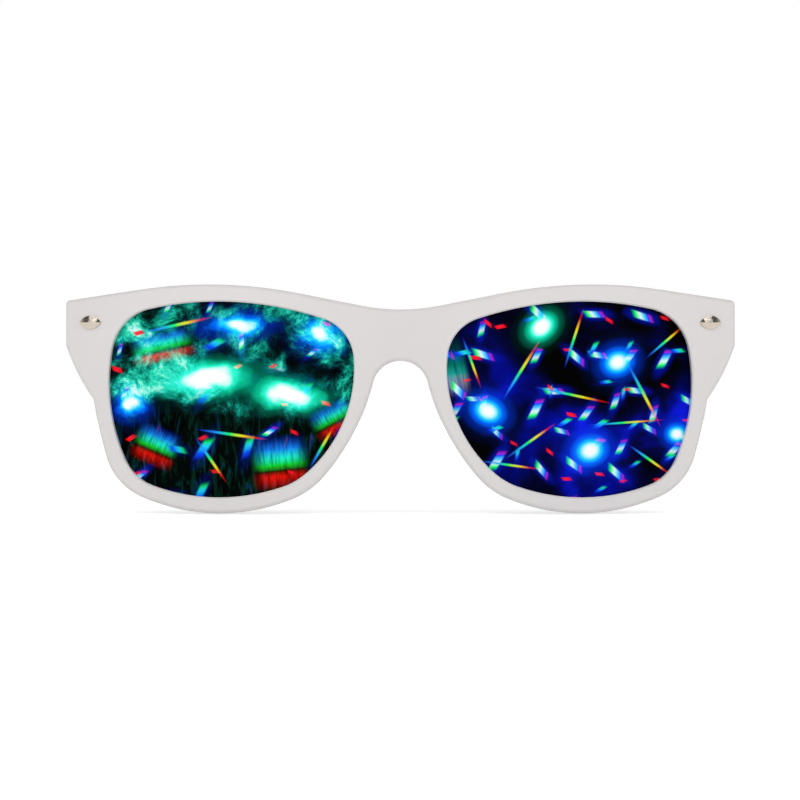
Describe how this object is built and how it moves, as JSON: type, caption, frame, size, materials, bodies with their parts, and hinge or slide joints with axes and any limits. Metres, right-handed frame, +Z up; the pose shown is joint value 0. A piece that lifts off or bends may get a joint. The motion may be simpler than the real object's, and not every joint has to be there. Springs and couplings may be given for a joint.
{
  "type": "diffraction glasses",
  "caption": "Plastic-framed glasses whose lenses carry a diffraction grating film that splits bright lights into spectra, with folding temple arms on barrel hinges.",
  "frame": {"origin": "on the surface the glasses stand on, below the middle of their bounding box, with both arms open", "axes": "+X to the wearer's left, +Y backwards along the arms (the front faces -Y), +Z up"},
  "size_m": [0.145, 0.1554, 0.0491],
  "materials": {
    "frame_plastic": "white moulded plastic, tumbled to a soft gloss",
    "temple_plastic": "white moulded plastic, tumbled to a soft gloss",
    "lens_sheet": "clear plastic sheet",
    "grating_film": "embossed film with a printed burst of spectra",
    "stud_metal": "polished nickel",
    "hinge_metal": "nickel-plated, satin",
    "rivet_metal": "nickel-plated",
    "screw_metal": "steel, bright"
  },
  "bodies": {
    "front": {"front_frame": "frame_plastic", "left_lens": "lens_sheet", "left_grating_film": "grating_film", "left_front_stud": "stud_metal", "left_front_hinge_leaf": "hinge_metal", "left_front_leaf_rivets": "rivet_metal", "left_hinge_screw": "screw_metal", "right_lens": "lens_sheet", "right_grating_film": "grating_film", "right_front_stud": "stud_metal", "right_front_hinge_leaf": "hinge_metal", "right_front_leaf_rivets": "rivet_metal", "right_hinge_screw": "screw_metal"},
    "left_temple": {"left_temple_arm": "temple_plastic", "left_temple_hinge_leaf": "hinge_metal", "left_temple_leaf_rivets": "rivet_metal"},
    "right_temple": {"right_temple_arm": "temple_plastic", "right_temple_hinge_leaf": "hinge_metal", "right_temple_leaf_rivets": "rivet_metal"}
  },
  "joints": [
    {"name": "left_temple_fold", "type": "hinge", "parent": "front", "child": "left_temple", "pos_m": [0.0673, -0.05573, 0.04092], "axis": [0, 0, 1], "range_deg": [0, 90]},
    {"name": "right_temple_fold", "type": "hinge", "parent": "front", "child": "right_temple", "pos_m": [-0.0673, -0.05573, 0.04092], "axis": [0, 0, -1], "range_deg": [0, 85.8]}
  ]
}
